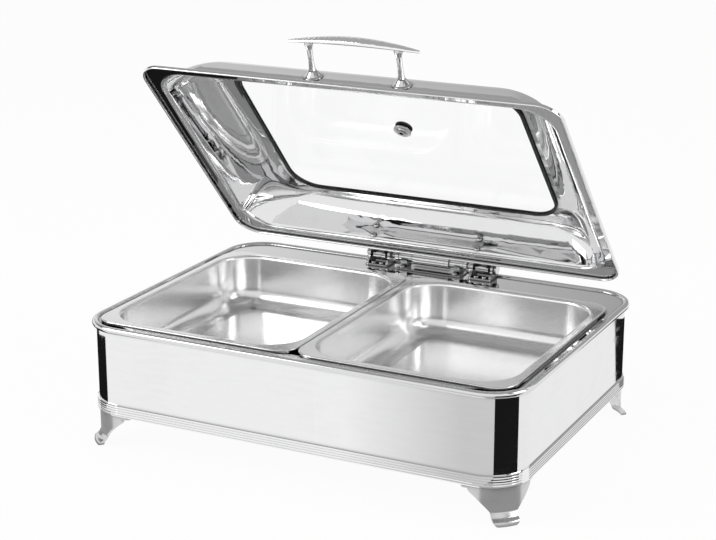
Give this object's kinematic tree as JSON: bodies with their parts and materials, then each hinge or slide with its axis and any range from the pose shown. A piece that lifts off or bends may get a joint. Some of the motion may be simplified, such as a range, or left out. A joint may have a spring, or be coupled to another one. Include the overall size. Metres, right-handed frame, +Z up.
{
  "type": "electric chafing dish",
  "caption": "Rectangular electric food warmer with a hinged domed lid, glass window, side-by-side food pans and a water bath.",
  "frame": {"origin": "on the table, under the middle of the base, in the plane of the four feet", "axes": "+X along the long side, to the right when facing the front; +Y to the back, where the hinge is; +Z up"},
  "size_m": [0.558, 0.4116, 0.4888],
  "materials": {
    "mirror_steel": "mirror-polished stainless steel",
    "cast_chrome": "polished cast metal",
    "satin_steel": "satin stainless steel, bright flange",
    "sheet_steel": "plain sheet steel",
    "hinge_steel": "turned and stamped steel, bright",
    "screw_steel": "bright screws",
    "window_glass": "clear tempered glass",
    "seal_rubber": "black silicone",
    "spreader_aluminium": "mill finish",
    "element_steel": "heat-darkened steel",
    "control_plastic": "matte black",
    "knob_plastic": "gloss black",
    "lamp_lens": "translucent red lens",
    "contact_brass": "bare contacts",
    "lead_insulation": "fibre-covered leads"
  },
  "bodies": {
    "base": {"base_screws": "screw_steel", "base_shell": "mirror_steel", "bottom_plate": "sheet_steel", "damper_barrel": "hinge_steel", "damper_saddle": "hinge_steel", "deck_screws": "screw_steel", "element_clamps": "element_steel", "foot_front_left": "cast_chrome", "foot_front_right": "cast_chrome", "foot_rear_left": "cast_chrome", "foot_rear_right": "cast_chrome", "heat_shield": "sheet_steel", "heat_spreader": "spreader_aluminium", "heating_element": "element_steel", "hinge_bracket_left": "hinge_steel", "hinge_bracket_right": "hinge_steel", "indicator_lamp": "lamp_lens", "inlet_pins": "contact_brass", "inlet_screws": "screw_steel", "lower_band": "mirror_steel", "power_inlet": "control_plastic", "shield_screws": "screw_steel", "shield_spacers": "sheet_steel", "terminal_block": "control_plastic", "thermal_cutout": "element_steel", "thermostat_body": "control_plastic", "top_frame": "mirror_steel", "water_pan": "satin_steel", "wiring": "lead_insulation"},
    "lid": {"lid_shell": "mirror_steel", "lid_glass": "window_glass", "window_gasket": "seal_rubber", "vent_seal": "seal_rubber", "vent_body": "mirror_steel", "vent_nut": "mirror_steel", "handle_grip": "mirror_steel", "handle_post_left": "mirror_steel", "handle_post_right": "mirror_steel", "handle_rosette_left": "mirror_steel", "handle_rosette_right": "mirror_steel", "handle_screws": "screw_steel", "handle_washers": "screw_steel", "hinge_arm_left": "hinge_steel", "hinge_arm_right": "hinge_steel", "hinge_shaft": "hinge_steel", "damper_rotor": "hinge_steel", "lid_screws": "screw_steel", "lid_nuts": "screw_steel"},
    "left_pan": {"food_pan_left": "satin_steel"},
    "right_pan": {"food_pan_right": "satin_steel"},
    "knob": {"thermostat_knob": "knob_plastic"}
  },
  "joints": [
    {"name": "lid_hinge", "type": "hinge", "parent": "base", "child": "lid", "pos_m": [0, 0.1854, 0.1634], "axis": [-1, 0, 0], "range_deg": [-47.5, 42.5]},
    {"name": "left_pan_lift", "type": "slide", "parent": "base", "child": "left_pan", "axis": [0, 0, 1], "range_m": [0, 0.0035]},
    {"name": "right_pan_lift", "type": "slide", "parent": "base", "child": "right_pan", "axis": [0, 0, 1], "range_m": [0, 0.0035]},
    {"name": "thermostat_turn", "type": "hinge", "parent": "base", "child": "knob", "pos_m": [0.15, 0.1976, 0.092], "axis": [0, -1, 0], "range_deg": [0, 270]}
  ]
}
